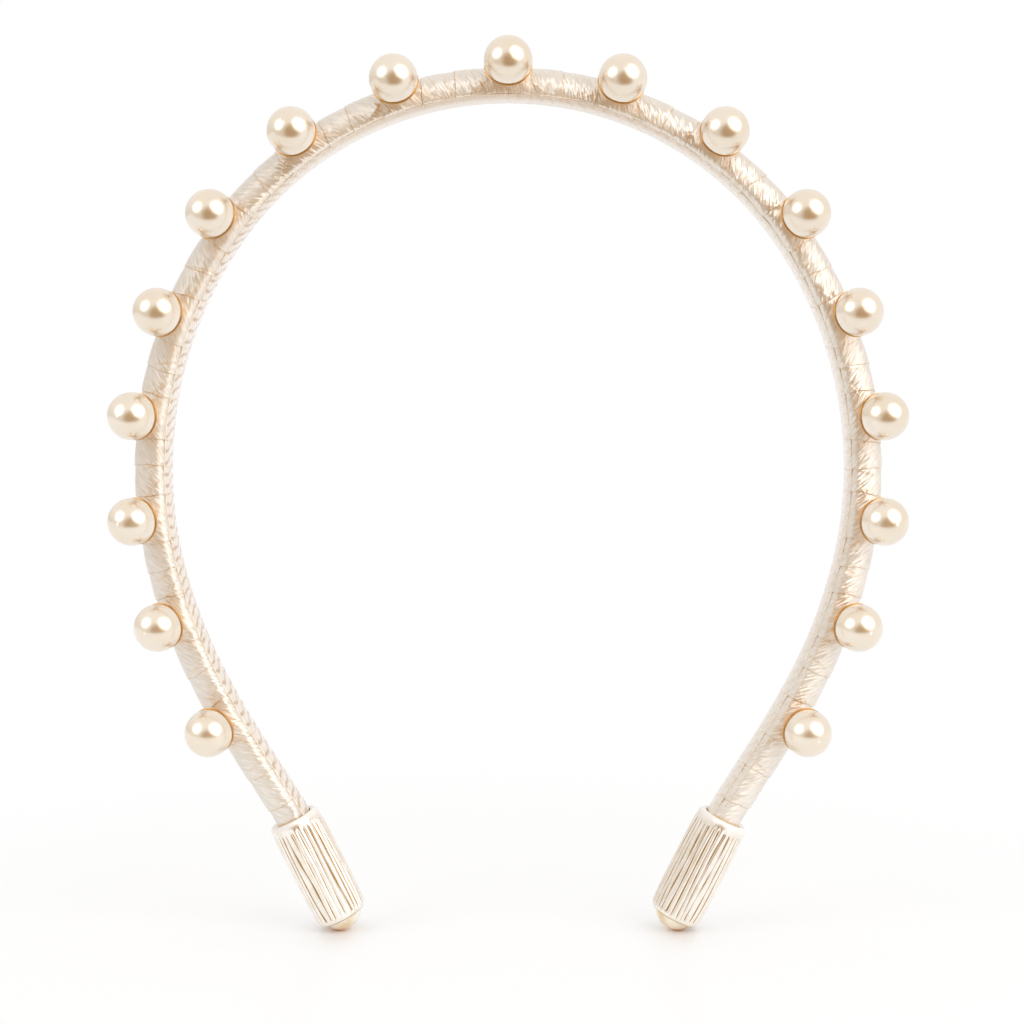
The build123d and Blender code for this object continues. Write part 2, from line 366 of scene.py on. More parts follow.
def turn_edges():
    """Stations of the turns' free edges: one each side of every pearl, one midway between pearls, then on to
    the band's end."""
    stations = []
    for here, after in zip(pearl_stations[:-1], pearl_stations[1:]):
        stations += [here + PEARL_TURN / 2, (here + after) / 2, after - PEARL_TURN / 2]
    last = pearl_stations[-1] + PEARL_TURN / 2
    below = np.linspace(last, band_length, 5)
    return np.concatenate([[0.0], stations, below])


def fold(station, arc, start, end, height, width):
    """A crease between two points given as (station, arc): a ridge with a valley along one side, both falling
    off as exp(-(distance/width)^2), fading at the crease's ends. Gives the height, and the valley's mark for
    painted shade."""
    run = np.subtract(end, start)
    length = np.hypot(*run)
    along = ((station - start[0]) * run[0] + (arc - start[1]) * run[1]) / length
    beside = ((station - start[0]) * run[1] - (arc - start[1]) * run[0]) / length
    fade = np.clip(along / 0.5, 0, 1) * np.clip((length - along) / 0.5, 0, 1)
    ridge = np.exp(-(beside / width) ** 2)
    valley = np.exp(-((beside - 1.5 * width) / width) ** 2)
    return height * fade * (ridge - 0.8 * valley), fade * valley


def ribbon_relief(turn, share, station, arc, side, crown_seat, arm_seat):
    """How far the ribbon stands off its section, and how deep in a crease each point lies, which marks
    painted shade in the creases' valleys. A turn rises by the square of the way through it and bows by a
    parabola, so that both its edges are pinched. Its pleats, a product of two sines across the threads,
    deepen near the sleeve. Under each pearl the ribbon swells by exp(-(distance/2.3)^2) to the cup, puckered
    round it, and creases run out from the pearl."""
    seam_and_shade = np.zeros_like(station)
    height = seam_and_shade + 0.17 * share ** 2 + 0.08 * (1 - (2 * share - 1) ** 2) - 0.10
    slant = thread_slant(turn, station, side)
    across = station * np.cos(slant) - arc * np.sin(slant)
    along = station * np.sin(slant) + arc * np.cos(slant)
    pleat = np.sin(across * 6.9 + 2 * np.sin(along * 0.9 + turn)) * np.sin(across * 2.3 + turn * 1.7)
    gather = np.clip((station - mouth + 20) / 16, 0, 1)
    height += (0.008 + 0.05 * gather) * pleat * np.sin(np.pi * share) ** 0.5
    for number, pearl in enumerate(pearl_stations):
        seat_arc, gap = leaned(pearl, crown_seat, arm_seat)
        along_band, round_band = station - pearl, arc - seat_arc
        reach = np.hypot(along_band, round_band)
        angle = np.arctan2(round_band, along_band)
        pucker = np.cos(9 * angle + number) * np.exp(-((reach - 3.6) / 1.1) ** 2)
        height += (gap + SEAT_PRESS) * np.exp(-(reach / 2.3) ** 2) + 0.035 * pucker
        for way, kind in ((1, 0), (-1, 1), (1, 2)):
            pick = chance(number * 3 + kind + 50 * (side > 0), 2.0)
            rim = (pearl + way * (3.4 + 0.4 * pick), seat_arc - 0.6 - 1.2 * pick)
            far = (rim[0] + way * (2.6 + 2.5 * pick), rim[1] - 2.4 - 1.4 * (kind == 0))
            ridge, valley = fold(station, arc, rim, far, 0.06, 0.14)
            height += ridge
            # painted shade in the crease's valley
            seam_and_shade = np.maximum(seam_and_shade, 0.3 * valley)
            if kind == 0:
                ridge, valley = fold(station, arc, far, (far[0] + 1.6, seat_arc + 0.4), 0.055, 0.14)
                height += ridge
                # painted shade in the crease's valley
                seam_and_shade = np.maximum(seam_and_shade, 0.4 * valley)
    return height, seam_and_shade


def arm_swell(station, n_out):
    """The padding's fullness on the outer side: a broadened half sine from below the crown to the sleeve,
    times the square of how far the surface faces outwards."""
    share = np.clip((station - 30) / (mouth - 30), 0, 1)
    return ARM_SWELL * np.sin(np.pi * share) ** 0.7 * np.clip(n_out, 0, 1) ** 2


def under_lining(outward, edge):
    """One outside the lining and a fifth beneath it, with a smooth step between."""
    step = np.clip((outward - edge + 0.3) / 0.5, 0, 1)
    return 0.2 + 0.8 * step * step * (3 - 2 * step)


def thread_slant(turn, station, side):
    """The threads' angle from straight round the band, in radians: small at the crown and steeper down the
    arms, a little different from turn to turn. On the -X arm the winding changes hand near the crown."""
    hand = np.where((side < 0) & (station < 50), 1.0, -1.0)
    lean = 26 + 18 * np.clip((station - 20) / 50, 0, 1) + 12 * (chance(turn, 5.0) - 0.5)
    return hand * np.radians(lean)


def rows_of_turns():
    """Row places down an arm as (turn number, share of the way through it), close together at the edges."""
    edges = turn_edges()
    near = np.array([0.02, 0.07, 0.15, 0.27, 0.42])
    turns, shares = [], []
    for number, width in enumerate(np.diff(edges)):
        middle = np.linspace(near[-1], width - near[-1], int(width / 0.3))[1:-1]
        places = np.concatenate([near, middle, width - near[::-1]]) / width
        turns.append(np.full(places.size, number))
        shares.append(places)
    return np.concatenate(turns), np.concatenate(shares)


def edge_place(number, arc, side):
    """Station of a free edge all round the band: its own station, swung to and fro once round by up to a
    millimetre, with a slight waver."""
    edges = turn_edges()
    key = number + 100 * (side > 0)
    swing = 0.15 + 0.6 * chance(key, 1.0)
    shift = 2 * np.pi * chance(key, 3.0)
    free = (number > 0) & (number < edges.size - 1)
    round_way = arc * 2 * np.pi / perimeter
    wave = swing * np.cos(round_way + shift) + 0.06 * np.sin(3.1 * round_way * 2 + shift)
    return edges[number] + wave * free


def tube_faces(rows, columns, flip):
    """Quads of a tube whose columns close round, and a flat face at each end. They face outwards if the
    columns run the right way round, and are flipped to face outwards if they run the other way."""
    row, column = np.meshgrid(np.arange(rows - 1), np.arange(columns), indexing="ij")
    after = (column + 1) % columns
    quads = np.stack([row * columns + column, row * columns + after,
                      (row + 1) * columns + after, (row + 1) * columns + column], axis=-1).reshape(-1, 4)
    if flip:
        quads = quads[:, ::-1]
    first = list(range(columns))
    last = [(rows - 1) * columns + i for i in range(columns)]
    if flip:
        last = last[::-1]
    else:
        first = first[::-1]
    return quads.tolist() + [first, last]


def surface(name, points, flip, material):
    """A smooth closed tube through a grid of points, rows along it and columns round it."""
    rows, columns = points.shape[:2]
    mesh = bpy.data.meshes.new(name)
    mesh.from_pydata(points.reshape(-1, 3).tolist(), [], tube_faces(rows, columns, flip))
    mesh.polygons.foreach_set("use_smooth", np.ones(len(mesh.polygons), bool))
    mesh.materials.append(material)
    piece = bpy.data.objects.new(name, mesh)
    bpy.context.collection.objects.link(piece)
    soft_pieces.objects.link(piece)
    return piece


def attribute(piece, name, values):
    """A number at each vertex for the material to read."""
    numbers = np.ravel(values).astype(np.float32)
    piece.data.attributes.new(name, "FLOAT", "POINT").data.foreach_set("value", numbers)


def texture_map(piece, name, u, v):
    """A UV map from two numbers at each vertex."""
    corner = np.empty(len(piece.data.loops), np.int32)
    piece.data.loops.foreach_get("vertex_index", corner)
    places = np.stack([np.ravel(u)[corner], np.ravel(v)[corner]], axis=-1)
    piece.data.uv_layers.new(name=name).data.foreach_set("uv", np.ravel(places).astype(np.float32))


def group_of(name, inputs, outputs):
    """A new shader node group with its two end nodes, from (name, socket kind) pairs."""
    group = bpy.data.node_groups.new(name, "ShaderNodeTree")
    for way, sockets in (("INPUT", inputs), ("OUTPUT", outputs)):
        for key, kind in sockets:
            group.interface.new_socket(key, in_out=way, socket_type=kind)
    return group, group.nodes.new("NodeGroupInput"), group.nodes.new("NodeGroupOutput")


def placed(tree, group, values):
    """A group's node in a material, with its own values."""
    node = tree.nodes.new("ShaderNodeGroup")
    node.node_tree = group
    for key, value in values.items():
        node.inputs[key].default_value = (*value, 1) if isinstance(value, tuple) else value
    return node


STRAND_TILT = 0.45         # how far a strand turns the surface at full streak
THREAD_RELIEF = 0.12       # depth in mm of the threads' relief
# Amber of the glue along the laps' edges, also used as painted shade in creases, in the lining's dips and
# where the band goes into a sleeve.
GLUE_AND_SHADE_AMBER = (0.78, 0.48, 0.19)


def weave_group():
    """Woven satin: long fine threads that vary the colour and the roughness and stand as a height, and
    broader strands that tilt the surface along the threads. Amber shows where the cloth is marked as seam and
    shade: glue along the laps' edges, partly painted shade in their step, and painted shade in creases, in
    dips and at a sleeve's mouth. A warmer tone shows where it is marked for warm tone and shade, which is
    mostly painted warm light and shade."""
    tree, given, made = group_of(
        "woven_satin",
        [("Base", "NodeSocketColor"), ("Shade", "NodeSocketColor"), ("Warm", "NodeSocketColor"),
         ("Rougher", "NodeSocketFloat"), ("Smoother", "NodeSocketFloat"), ("Tilt", "NodeSocketFloat")],
        [("Color", "NodeSocketColor"), ("Roughness", "NodeSocketFloat"), ("Height", "NodeSocketFloat"),
         ("Normal", "NodeSocketVector")])
    place = tree.nodes.new("ShaderNodeUVMap")
    place.uv_map = "threads"
    stretch = tree.nodes.new("ShaderNodeMapping")
    stretch.inputs["Scale"].default_value = (1.0, 0.14, 1.0)
    tree.links.new(place.outputs[0], stretch.inputs["Vector"])

    def noise(scale, detail):
        """A noise drawn out along the threads."""
        node = tree.nodes.new("ShaderNodeTexNoise")
        node.inputs["Scale"].default_value = scale
        node.inputs["Detail"].default_value = detail
        tree.links.new(stretch.outputs[0], node.inputs["Vector"])
        return node.outputs["Fac"]

    def mark(name):
        """A number that the cloth holds at each vertex."""
        node = tree.nodes.new("ShaderNodeAttribute")
        node.attribute_name = name
        return node.outputs["Fac"]

    threads, strands = noise(2.6, 1.0), noise(3.6, 0.0)
    woven = mix_colour(tree, ranged(tree, threads, 0.35, 0.68), given.outputs["Shade"], given.outputs["Base"])
    warmed = mix_colour(tree, mark("warm_tone_and_shade"), woven, given.outputs["Warm"])
    tree.links.new(mix_colour(tree, mark("seam_and_shade"), warmed, GLUE_AND_SHADE_AMBER), made.inputs["Color"])
    gloss = ranged(tree, threads, 0.3, 0.7)
    tree.links.new(given.outputs["Rougher"], gloss.node.inputs["To Min"])
    tree.links.new(given.outputs["Smoother"], gloss.node.inputs["To Max"])
    tree.links.new(gloss, made.inputs["Roughness"])
    tree.links.new(threads, made.inputs["Height"])
    across_threads = tree.nodes.new("ShaderNodeTangent")
    across_threads.direction_type = "UV_MAP"
    across_threads.uv_map = "threads"
    face = tree.nodes.new("ShaderNodeNewGeometry").outputs["Normal"]
    along_threads = vector_math(tree, "CROSS_PRODUCT", face, across_threads.outputs[0])
    lean = tree.nodes.new("ShaderNodeMath")
    lean.operation = "MULTIPLY"
    tree.links.new(ranged(tree, strands, 0.25, 0.75, -1.0, 1.0), lean.inputs[0])
    tree.links.new(given.outputs["Tilt"], lean.inputs[1])
    tilt = vector_math(tree, "SCALE", along_threads.outputs[0])
    tree.links.new(lean.outputs[0], tilt.inputs["Scale"])
    level = vector_math(tree, "NORMALIZE", vector_math(tree, "ADD", face, tilt.outputs[0]).outputs[0])
    tree.links.new(level.outputs[0], made.inputs["Normal"])
    return tree


weave = weave_group()


def satin_finish(name, base, shade, warm, roughness, streak):
    """Satin with its gloss drawn out round the band, as the threads scatter it, under a clear dressing."""
    material, tree, cloth = blank_material(name)
    woven = placed(tree, weave, {"Base": base, "Shade": shade, "Warm": warm, "Rougher": roughness + 0.08,
                                 "Smoother": roughness - 0.04, "Tilt": STRAND_TILT * streak})
    tree.links.new(woven.outputs["Color"], cloth.inputs["Base Color"])
    tree.links.new(woven.outputs["Roughness"], cloth.inputs["Roughness"])
    across_threads = tree.nodes.new("ShaderNodeTangent")
    across_threads.direction_type = "UV_MAP"
    across_threads.uv_map = "threads"
    tree.links.new(across_threads.outputs[0], cloth.inputs["Tangent"])
    bump = tree.nodes.new("ShaderNodeBump")
    bump.inputs["Strength"].default_value = streak
    bump.inputs["Distance"].default_value = THREAD_RELIEF * MM
    tree.links.new(woven.outputs["Normal"], bump.inputs["Normal"])
    tree.links.new(woven.outputs["Height"], bump.inputs["Height"])
    tree.links.new(bump.outputs["Normal"], cloth.inputs["Normal"])
    for key, number in (("Metallic", 0.56), ("Anisotropic", 0.92), ("Coat Weight", 0.7),
                        ("Coat Roughness", 0.28), ("Coat IOR", 1.7), ("Sheen Weight", 0.15),
                        ("Sheen Roughness", 0.4)):
        cloth.inputs[key].default_value = number
    return material


# Its warm colour is painted warm light and shade round the pearls.
satin = satin_finish("ivory_satin", (0.92, 0.86, 0.79), (0.84, 0.775, 0.68), (0.94, 0.77, 0.56), 0.32, 0.6)
arms = (("right", 1), ("left", -1))
turn_of_row, share_of_row = rows_of_turns()
crown_section = np.array(band_section(COLUMNS, APEX["crown"]))
perimeter = (crown_section[4, -1] - crown_section[4, 0]) * COLUMNS / (COLUMNS - 1)
edges = turn_edges()
row_station = edges[turn_of_row] + share_of_row * np.diff(edges)[turn_of_row]
wraps = {}
for arm, side in arms:
    arm_section = np.array(band_section(COLUMNS, APEX[arm]))
    section = leaned(row_station[None, :, None], crown_section[:, None], arm_section[:, None])
    out, front, n_out, n_front, arc = section
    turn, share = turn_of_row[:, None], share_of_row[:, None]
    upper, lower = edge_place(turn, arc, side), edge_place(turn + 1, arc, side)
    station = upper + (lower - upper) * share
    crown_seat, arm_seat = seat_on(crown_section), seat_on(arm_section)
    height, seam_and_shade = ribbon_relief(turn, share, station, arc, side, crown_seat, arm_seat)
    lining_edge = leaned(row_station[:, None], LINING_EDGE["crown"], LINING_EDGE[arm])
    height = height * under_lining(out, lining_edge) + arm_swell(station, n_out)
    from_edge = np.minimum(share, 1 - share) * (lower - upper)
    # Dashed amber glue along each lap's free edge, partly painted shade in the lap's step.
    dash = chance(np.round(arc * 2.2) + turn * 7, 4.0)
    seam_and_shade = np.maximum(seam_and_shade, np.exp(-(from_edge / 0.08) ** 2) * (0.3 + 0.7 * (dash > 0.6)))
    # Painted shade where the band goes into the sleeve.
    seam_and_shade = np.maximum(seam_and_shade, 0.8 * np.exp(-((station - mouth) / 0.2) ** 2))
    # Painted warm bounce light and shade on the ribbon round each pearl's seat.
    nearest = np.abs(station[..., None] - pearl_stations).min(axis=-1)
    seat_arc = leaned(row_station[:, None], crown_seat[0], arm_seat[0])
    warm_tone_and_shade = 0.17 * np.exp(-(np.hypot(nearest, arc - seat_arc - 0.4) / 4.2) ** 4)
    points = on_band(station, out + height * n_out, front + height * n_front, side)
    wrap = surface(f"satin_wrap_{arm}", points, side > 0, satin)
    attribute(wrap, "seam_and_shade", seam_and_shade)
    attribute(wrap, "warm_tone_and_shade", warm_tone_and_shade)
    slant = thread_slant(turn, station, side)
    texture_map(wrap, "threads", station * np.cos(slant) - arc * np.sin(slant) + 3.1 * turn,
                station * np.sin(slant) + arc * np.cos(slant))
    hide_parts("wrap_crown", f"wrap_{arm}", "padding_crown", f"padding_{arm}")
    wraps[arm] = wrap


def blend_at_flex(piece, side):
    """Bakes a layer's placing into its mesh. The ends of the stretch of band round the joint are worked out
    but not used, and the layer is not bent.
    """
    start, end = (on_band(np.array(flex_station + step), 0.0, 0.0, side) for step in (-FLEX_HALF, FLEX_HALF))
    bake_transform(piece)


for arm, side in arms:
    blend_at_flex(wraps[arm], side)

# ---- lining ----
# A flat strip of the same satin glued down the head side of the band over the wrap's laps. Its two
# edges are turned under and stand up a little, and the laps beneath it show through as facets, with painted
# shade in the laps' dips, between the facets and over the crown.

LINING_COLUMNS = 72
LINING_LIFT = 0.06        # how far the strip's edges stand up
LINING_SAMPLES = 4000
# Its dark warm colour is the painted shade between the facets and over the crown.
lining_cloth = satin_finish("lining_satin", (1.0, 0.95, 0.88), (0.93, 0.85, 0.75), (0.58, 0.40, 0.25),
                            0.3, 0.07)


def lining_section(columns, apex, edge):
    """Section of the strip: its top from the pearl-side edge round the head side to the other edge, thinner
    at both edges, then its underside back again. Gives places, normals, the arc and the height of each
    point, and how far it lies inside the edges, 0 to 1."""
    out, front, n_out, n_front, arc = band_section(LINING_SAMPLES, apex)
    whole = (arc[-1] - arc[0]) * LINING_SAMPLES / (LINING_SAMPLES - 1)
    arc = np.where(arc > whole / 2, arc - whole, arc)
    order = np.argsort(-arc)
    out, front, n_out, n_front, arc = (values[order] for values in (out, front, n_out, n_front, arc))
    strip = [values[out < edge] for values in (out, front, n_out, n_front, arc)]
    place = strip[4]
    even = place[0] + (place[-1] - place[0]) * np.linspace(0, 1, columns // 2)
    top = [np.interp(-even, -place, values) for values in strip]
    from_edge = np.minimum(top[4][0] - top[4], top[4] - top[4][-1])
    lift = LINING_LIFT + (LINING_THICKNESS - LINING_LIFT) * (1 - np.exp(-from_edge / 0.4))
    both = [np.concatenate([values, values[::-1]]) for values in top]
    height = np.concatenate([lift, np.zeros(columns // 2) - 0.02])
    cover = np.concatenate([np.clip(from_edge / 0.3, 0, 1), np.zeros(columns // 2)])
    return np.array([*both, height, cover])


def lining_relief(turn, share, station, arc, side):
    """Facets of the strip: a shallow dip along each lap beneath it, and between dips slanting leaf-shaped
    flats, where a bent cosine of a tilted distance is high, with creases between them. They are strong on
    the -X arm, where the ribbon was wound loosely, and faint elsewhere. Also gives the marks of the laps
    and of the creases, which are painted shade in the dips and between the flats."""
    width = np.diff(turn_edges())[turn]
    from_edge = np.minimum(share, 1 - share) * width
    dip = np.exp(-(from_edge / 0.14) ** 2)
    loose = np.clip((station - 30) / 25, 0, 1) if side < 0 else 0.25
    tooth = (station + side * 0.45 * arc + 0.3 * np.sin(1.9 * arc + turn)) / (1.9 + 0.4 * chance(turn, 8.0))
    wave = 0.5 + 0.5 * np.cos(2 * np.pi * tooth + 0.8 * np.cos(2 * np.pi * tooth + 1.0))
    leaf = 1 / (1 + np.exp((0.42 - wave) * 18))
    return -0.06 * dip + 0.05 * loose * (leaf - 0.5) * (1 - dip), dip, loose * (1 - leaf)


def along_section(n_out, n_front, shift):
    """Steps outward and frontward that slide a point round the section by a distance."""
    return shift * n_front, -shift * n_out


for arm, side in arms:
    crown_strip, arm_strip = (lining_section(LINING_COLUMNS, APEX[place], LINING_EDGE[place])[:, None]
                              for place in ("crown", arm))
    strip = leaned(row_station[None, :, None], crown_strip, arm_strip)
    out, front, n_out, n_front, arc, lift, cover = strip
    turn, share = turn_of_row[:, None], share_of_row[:, None]
    upper, lower = edge_place(turn, arc, side), edge_place(turn + 1, arc, side)
    station = upper + (lower - upper) * share
    facet, dip, low = lining_relief(turn, share, station, arc, side)
    height = lift + cover * facet
    waver = 0.22 * (chance(turn, 6.0 + side) - 0.5) + 0.05 * np.sin(1.1 * station)
    slide_out, slide_front = along_section(n_out, n_front, waver * (front > 0) * np.clip(1 - cover, 0, 1))
    points = on_band(station, out + height * n_out + slide_out, front + height * n_front + slide_front, side)
    lining = surface(f"lining_strip_{arm}", points, side < 0, lining_cloth)
    stitch = 0.1 + 0.6 * chance(np.round(station * 0.9), 3.3) ** 2
    # Painted shade in the laps' dips, and stitch marks along the strip's edges.
    attribute(lining, "seam_and_shade", 0.3 * dip * cover + stitch * (lift > 0) * (1 - np.clip(cover / 0.15, 0, 1)))
    # Painted shade between the leaf flats and over the crown, on an even warmer tone.
    attribute(lining, "warm_tone_and_shade", (0.75 * low + 0.45 * np.exp(-(station / 45) ** 2) + 0.12) * cover)
    texture_map(lining, "threads", station - side * 0.5 * arc, arc + 0 * station)
    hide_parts("lining_crown", f"lining_{arm}")
    blend_at_flex(lining, side)

# ---- pearls ----
# Glass beads with a warm ivory nacre skin, glued into their cups. The skin is a thin glossy coat over
# a softly shining cream body.


def cloud_group():
    """Clouds of a deeper tone in a paler one, from a noise that is fixed to the piece: the share of the
    paler tone goes from nought to one as the noise goes from Low to High."""
    tree, given, made = group_of(
        "clouded",
        [("Deep", "NodeSocketColor"), ("Pale", "NodeSocketColor"), ("Scale", "NodeSocketFloat"),
         ("Detail", "NodeSocketFloat"), ("Low", "NodeSocketFloat"), ("High", "NodeSocketFloat")],
        [("Color", "NodeSocketColor"), ("Share", "NodeSocketFloat")])
    place = tree.nodes.new("ShaderNodeTexCoord")
    cloud = tree.nodes.new("ShaderNodeTexNoise")
    tree.links.new(place.outputs["Object"], cloud.inputs["Vector"])
    for key in ("Scale", "Detail"):
        tree.links.new(given.outputs[key], cloud.inputs[key])
    share = ranged(tree, cloud.outputs["Fac"], 0.0, 1.0)
    for key, bound in (("Low", "From Min"), ("High", "From Max")):
        tree.links.new(given.outputs[key], share.node.inputs[bound])
    tone = mix_colour(tree, share, given.outputs["Deep"], given.outputs["Pale"])
    tree.links.new(share, made.inputs["Share"])
    tree.links.new(tone, made.inputs["Color"])
    return tree


clouds = cloud_group()


def clouded(tree, deep, pale, scale, detail=2.0, low=0.35, high=0.65):
    """The clouds in a material, with its own tones and grain."""
    return placed(tree, clouds, {"Deep": deep, "Pale": pale, "Scale": scale, "Detail": detail, "Low": low,
                                 "High": high})


def nacre_finish(name, deep, pale, metal, cloud_scale, coat_ior):
    """Nacre: a clouded cream body, part mirror, under a clear glossy coat."""
    material, tree, skin = blank_material(name)
    tree.links.new(clouded(tree, deep, pale, cloud_scale).outputs["Color"], skin.inputs["Base Color"])
    for key, number in (("Metallic", metal), ("Roughness", 0.25), ("Coat Weight", 1.0),
                        ("Coat IOR", coat_ior), ("Coat Roughness", 0.22)):
        skin.inputs[key].default_value = number
    return material


def refinish(kind, material):
    """Gives a new material to every CAD node of a kind."""
    for name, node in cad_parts.items():
        if name.startswith(kind):
            node.data.materials.clear()
            node.data.materials.append(material)


nacre = nacre_finish("ivory_nacre", (0.84, 0.71, 0.54), (0.875, 0.77, 0.635), 0.66, 160.0, 2.6)
refinish("pearl_", nacre)

# ---- pearl cups ----
# Shallow pressed cups of gold-toned metal, each with a peg that runs up into its pearl and down through
# the ribbon into the padding.

gilt, gilt_tree, gilt_skin = blank_material("gilt")
gilt_tone = clouded(gilt_tree, (0.60, 0.31, 0.08), (0.78, 0.46, 0.16), 900.0, low=0.0, high=1.0)
gilt_tree.links.new(gilt_tone.outputs["Color"], gilt_skin.inputs["Base Color"])
gilt_skin.inputs["Metallic"].default_value = 1.0
gilt_skin.inputs["Roughness"].default_value = 0.38
refinish("cup_", gilt)

# ---- end sleeves ----
# Moulded sleeves pushed over the band's ends. Each is a slightly barrelled tube with a smooth rolled rim
# at both ends and fine uneven ribs down its length. Gold-brown painted shade lies in the grooves, the
# pocket, the mouth's edge and the foot, and the rim at the mouth is painted paler as a painted highlight.

SLEEVE_LENGTH = 19.1
SLEEVE_HALF_WIDTH = 4.6
SLEEVE_HALF_DEPTH = 5.0
SLEEVE_RIM = 0.95            # length of each rounded rim
SLEEVE_TAPER = 0.28          # how much narrower the sleeve is at its rims than at its middle
SLEEVE_LIP = 0.30            # least wall round the pocket
SLEEVE_ROLL = 0.5            # how far the rim rolls down into the pocket
SLEEVE_POCKET = 10.3         # depth of the pocket that the band goes into
POCKET_FIT = 0.02
RIB_COUNT = 30
RIB_DEPTH = 0.28
RIM_HIGHLIGHT_LENGTH = 1.2          # how far down from the mouth the rim is painted paler, a painted highlight
SLEEVE_COLUMNS = 480


def sleeve_ribs(turn, down, side):
    """How deep each point lies below the ribs' tops, 0 to 1: one less a power of a sine's size, so the ribs
    are rounded and the grooves sharp. The angle is warped by a few slower sines that change down the
    sleeve, and the grooves' strength drifts, so some run together and some fade out half way."""
    warp = 0.35 * np.sin(3 * turn + side) + 0.30 * np.sin(7 * turn + 0.11 * down)
    warp = warp + 0.22 * np.sin(13 * turn + 0.23 * down + 2 * side)
    phase = RIB_COUNT * turn / 2 + warp + 0.25 * np.sin(0.3 * down + 5 * turn)
    sharp = 1 - (np.abs(np.sin(phase)) + 1e-4) ** 0.9
    drift = 0.82 + 0.18 * np.sin(11 * turn + 0.35 * down + 4 * side) * np.sin(0.45 * down + 6 * turn)
    ends = np.clip((down - 1.30) / 0.6, 0, 1) * np.clip((SLEEVE_LENGTH - 0.5 - down) / 0.5, 0, 1)
    return np.clip(sharp, 0, 1) * drift * ends


def sleeve_surface(side):
    """Rows of a sleeve from the middle of its pocket's floor, up the pocket wall, over the rolled rim, down
    the outside and across its foot. Outside, the radius is the ellipse's, less the taper times the fourth
    power of the share of the way from the middle to a rim, less half a quarter circle at the rims, less
    the ribs' grooves. A smooth maximum keeps it a least wall outside the pocket."""
    turn = np.linspace(0, 2 * np.pi, SLEEVE_COLUMNS, endpoint=False)[None, :]
    pocket = band_section(LINING_SAMPLES, APEX["right" if side > 0 else "left"], POCKET_FIT,
                          LINING_THICKNESS + POCKET_FIT)
    angle = np.arctan2(pocket[1], pocket[0])
    order = np.argsort(angle)
    around = np.angle(np.exp(1j * turn))
    pocket_radius = np.interp(around, angle[order], np.hypot(pocket[0], pocket[1])[order], period=2 * np.pi)
    down = np.concatenate([np.linspace(0, 1, 9) ** 1.5 * SLEEVE_RIM,
                           np.linspace(SLEEVE_RIM, SLEEVE_LENGTH - SLEEVE_RIM, 60)[1:-1],
                           SLEEVE_LENGTH - (np.linspace(1, 0, 9) ** 1.5) * SLEEVE_RIM])[:, None]
    bow = ((down - SLEEVE_LENGTH / 2) / (SLEEVE_LENGTH / 2)) ** 4
    rim = np.clip((SLEEVE_RIM - np.minimum(down, SLEEVE_LENGTH - down)) / SLEEVE_RIM, 0, 1)
    inset = SLEEVE_TAPER * bow + SLEEVE_RIM * (1 - np.sqrt(1 - rim ** 2)) * 0.5
    groove_and_painted_light = sleeve_ribs(turn, down, side)
    inset = inset + RIB_DEPTH * groove_and_painted_light + 0.03 * np.sin(3 * turn + down * 0.3 + side) * np.sin(down * 0.33)
    ellipse = 1 / np.hypot(np.cos(turn) / SLEEVE_HALF_WIDTH, np.sin(turn) / SLEEVE_HALF_DEPTH)
    free, least = ellipse - inset, pocket_radius + SLEEVE_LIP
    outside = (free + least + np.hypot(free - least, 0.35)) / 2
    lip = np.linspace(0, 1, 6)[1:-1, None]
    roll = pocket_radius + (outside[:1] - pocket_radius) * lip
    roll_down = SLEEVE_ROLL * (1 - np.sin(np.pi / 2 * lip)) + 0 * turn
    wall = np.concatenate([pocket_radius * 0.02, pocket_radius, pocket_radius, pocket_radius])
    wall_down = np.array([[SLEEVE_POCKET], [SLEEVE_POCKET], [1.2], [SLEEVE_ROLL]]) + 0 * turn
    foot = outside[-1:] * np.array([[0.75], [0.4], [0.02]])
    foot_down = SLEEVE_LENGTH + 0 * foot
    radius = np.concatenate([wall, roll, outside, foot])
    depth = np.concatenate([wall_down, roll_down, down + 0 * turn, foot_down])
    # Painted shade at the foot's edge, where the tip meets the sleeve.
    foot_line_shade = 0.9 * (down > SLEEVE_LENGTH - 0.12)
    # A painted highlight: the rim paler near the mouth.
    rim_highlight = 0.5 * np.clip(1 - down / RIM_HIGHLIGHT_LENGTH, 0, 1)
    # Painted shade in the pocket, at the mouth's edge and over the foot; the ribs' grooves are painted shade
    # too.
    mark = np.concatenate([0.9 + 0 * wall, 0.7 * (lip < 0.3) - 0.5 * (lip > 0.3) + 0 * roll,
                           groove_and_painted_light + foot_line_shade - rim_highlight, 0.9 + 0 * foot])
    return radius * np.cos(turn), radius * np.sin(turn), depth, mark


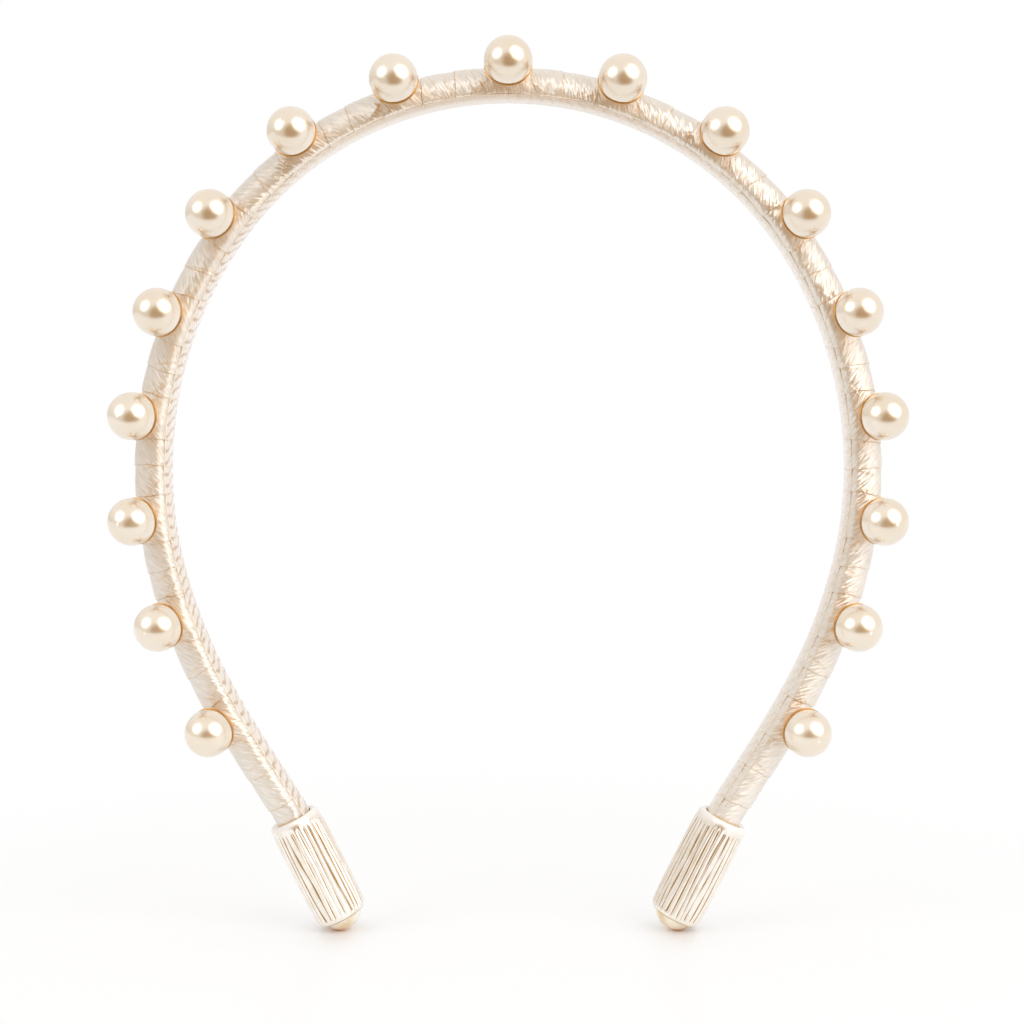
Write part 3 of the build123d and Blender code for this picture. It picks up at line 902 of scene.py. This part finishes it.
def sleeve_finish():
    """Satin-lustre moulding: ivory ribs, slightly clouded, with gold-brown painted shade in the grooves, the
    pocket, the mouth's edge and the foot. Where the mark is below nought, at the mouth, the rim is painted
    paler, a painted highlight, and is duller."""
    material, tree, skin = blank_material("ribbed_ivory")
    painted_light_mark = tree.nodes.new("ShaderNodeAttribute")
    painted_light_mark.attribute_name = "groove_and_painted_light"
    groove_and_painted_light = painted_light_mark.outputs["Fac"]
    body = clouded(tree, (0.90, 0.83, 0.73), (0.99, 0.94, 0.87), 500.0, detail=3.0).outputs["Color"]
    # A painted highlight: the rim at the mouth is painted paler.
    rim_highlight = ranged(tree, groove_and_painted_light, -0.5, 0.0, 1.0, 0.0)
    bright = mix_colour(tree, rim_highlight, body, (1.0, 0.97, 0.92))
    # Painted gold-brown shade in the grooves, the pocket, the mouth's edge and the foot.
    tinted = mix_colour(tree, ranged(tree, groove_and_painted_light, 0.46, 0.72), bright, (0.40, 0.20, 0.01))
    tree.links.new(tinted, skin.inputs["Base Color"])
    tree.links.new(ranged(tree, rim_highlight, 0.0, 0.6, 0.85, 0.25), skin.inputs["Metallic"])
    tree.links.new(ranged(tree, rim_highlight, 0.0, 0.6, 0.18, 0.45), skin.inputs["Roughness"])
    tree.links.new(ranged(tree, groove_and_painted_light, 0.45, 0.75, 0.7, 0.1), skin.inputs["Coat Weight"])
    skin.inputs["Coat IOR"].default_value = 1.8
    skin.inputs["Coat Roughness"].default_value = 0.15
    return material


sleeve_skin = sleeve_finish()
mouth_x, mouth_z, mouth_heading = band_path(np.array(mouth))
for arm, side in arms:
    out, front, down, groove_and_painted_light = sleeve_surface(side)
    across = side * (mouth_x + out * np.sin(mouth_heading) + down * np.cos(mouth_heading))
    up = crown_z + mouth_z + out * np.cos(mouth_heading) - down * np.sin(mouth_heading)
    points = np.stack([across, band_y - front, up], axis=-1) * MM
    sleeve = surface(f"ribbed_sleeve_{arm}", points, side < 0, sleeve_skin)
    attribute(sleeve, "groove_and_painted_light", groove_and_painted_light)
    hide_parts(f"sleeve_{arm}")
    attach(sleeve, f"arm_{arm}")

# ---- tips ----
# Glossy domes of the same pearly moulding that close the sleeves' feet and carry the band when it
# stands. Near the ground their skin is painted a golden tone: a painted reflection of the floor, with
# painted shade at the foot.

GOLDEN_FOOT_HEIGHTS = (0.3, 1.1)       # heights in mm between which the painted golden foot tone fades out

tip_gloss = nacre_finish("tip_pearl", (0.82, 0.62, 0.36), (1.0, 0.93, 0.80), 0.8, 300.0, 1.6)
tip_tree = tip_gloss.node_tree
tip_colour = tip_tree.nodes["Principled BSDF"].inputs["Base Color"]
tip_body = tip_colour.links[0].from_socket
tip_apart = tip_tree.nodes.new("ShaderNodeSeparateXYZ")
tip_tree.links.new(tip_tree.nodes.new("ShaderNodeTexCoord").outputs["Object"], tip_apart.inputs[0])
# Painted reflection and shade: the tip turns golden towards the ground.
tip_painted_foot = ranged(tip_tree, tip_apart.outputs["Z"], GOLDEN_FOOT_HEIGHTS[0] * MM, GOLDEN_FOOT_HEIGHTS[1] * MM, 1.0, 0.0)
tip_tree.links.new(mix_colour(tip_tree, tip_painted_foot, tip_body, (0.90, 0.50, 0.16)), tip_colour)
refinish("tip_", tip_gloss)

# ---- padding and core ----
# Foam moulded round a spring-steel strip. Both are hidden in the wrap, and show only where a layer is
# lifted off.

foam, foam_tree, foam_skin = blank_material("foam")
foam_place = foam_tree.nodes.new("ShaderNodeTexCoord")
foam_cells = foam_tree.nodes.new("ShaderNodeTexVoronoi")
foam_cells.inputs["Scale"].default_value = 2500.0
foam_tree.links.new(foam_place.outputs["Object"], foam_cells.inputs["Vector"])
foam_tone = mix_colour(foam_tree, foam_cells.outputs["Distance"], (0.62, 0.58, 0.50), (0.86, 0.83, 0.76))
foam_tree.links.new(foam_tone, foam_skin.inputs["Base Color"])
foam_skin.inputs["Roughness"].default_value = 0.9
refinish("padding_", foam)

spring, spring_tree, spring_skin = blank_material("spring_steel")
spring_grain = clouded(spring_tree, (0.0, 0.0, 0.0), (1.0, 1.0, 1.0), 1500.0, low=0.3, high=0.7)
spring_gloss = ranged(spring_tree, spring_grain.outputs["Share"], 0.0, 1.0, 0.25, 0.45)
spring_tree.links.new(spring_gloss, spring_skin.inputs["Roughness"])
spring_skin.inputs["Base Color"].default_value = (0.56, 0.56, 0.58, 1)
spring_skin.inputs["Metallic"].default_value = 1.0
refinish("core_", spring)
